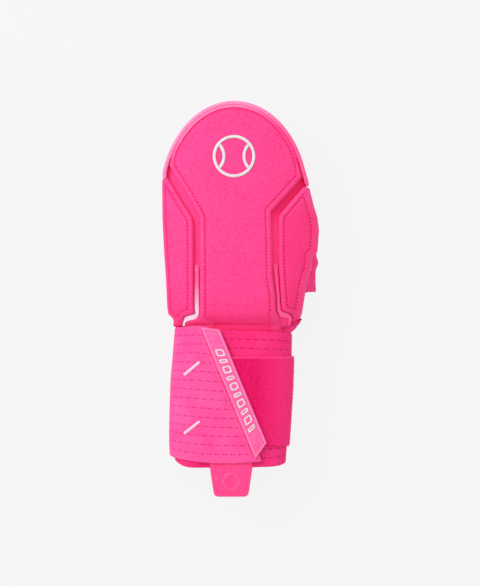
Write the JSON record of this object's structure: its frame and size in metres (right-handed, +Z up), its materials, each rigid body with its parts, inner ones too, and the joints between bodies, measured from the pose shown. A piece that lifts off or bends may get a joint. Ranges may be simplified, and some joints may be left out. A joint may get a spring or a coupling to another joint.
{
  "type": "sliding mitt",
  "caption": "Padded sliding mitt for ball games, worn on the left hand: moulded back panels, rubber finger bumper, flat palm pad, wide elastic wrist strap with slanted end tab and pull tab.",
  "frame": {"origin": "on the floor, at the middle of the mitt's footprint as it lies palm down", "axes": "+Z up from the palm to the back of the hand, +Y towards the fingers, +X towards the thumb"},
  "size_m": [0.126, 0.317, 0.0511],
  "materials": {
    "shell_foam": "matt moulded foam",
    "pad_fabric": "fine grained brushed fabric over foam",
    "pale_film": "satin film",
    "pink_film": "satin film",
    "bumper_rubber": "dotted matt rubber",
    "palm_fabric": "woven fabric over foam",
    "side_fabric": "knitted fabric",
    "cuff_elastic": "ribbed elastic with eyelets",
    "strap_elastic": "ribbed elastic with eyelets",
    "loop_pile": "brushed loop pile",
    "tab_plastic": "fine grained soft plastic",
    "grip_rubber": "satin moulded rubber",
    "badge_white": "satin"
  },
  "bodies": {
    "root": {"back_shell": "shell_foam", "back_centre_panel": "pad_fabric", "back_outer_panel": "pad_fabric", "back_thumb_panel": "pad_fabric", "channel_strip_outer": "pale_film", "channel_strip_thumb": "pink_film", "finger_bumper": "bumper_rubber", "palm_pad": "palm_fabric", "outer_gusset": "side_fabric", "thumb_gusset": "side_fabric", "cuff_band": "cuff_elastic", "closing_strap": "strap_elastic", "loop_panel": "loop_pile", "strap_end_tab": "tab_plastic", "pull_tab": "grip_rubber", "dome_badge": "badge_white"}
  },
  "joints": []
}
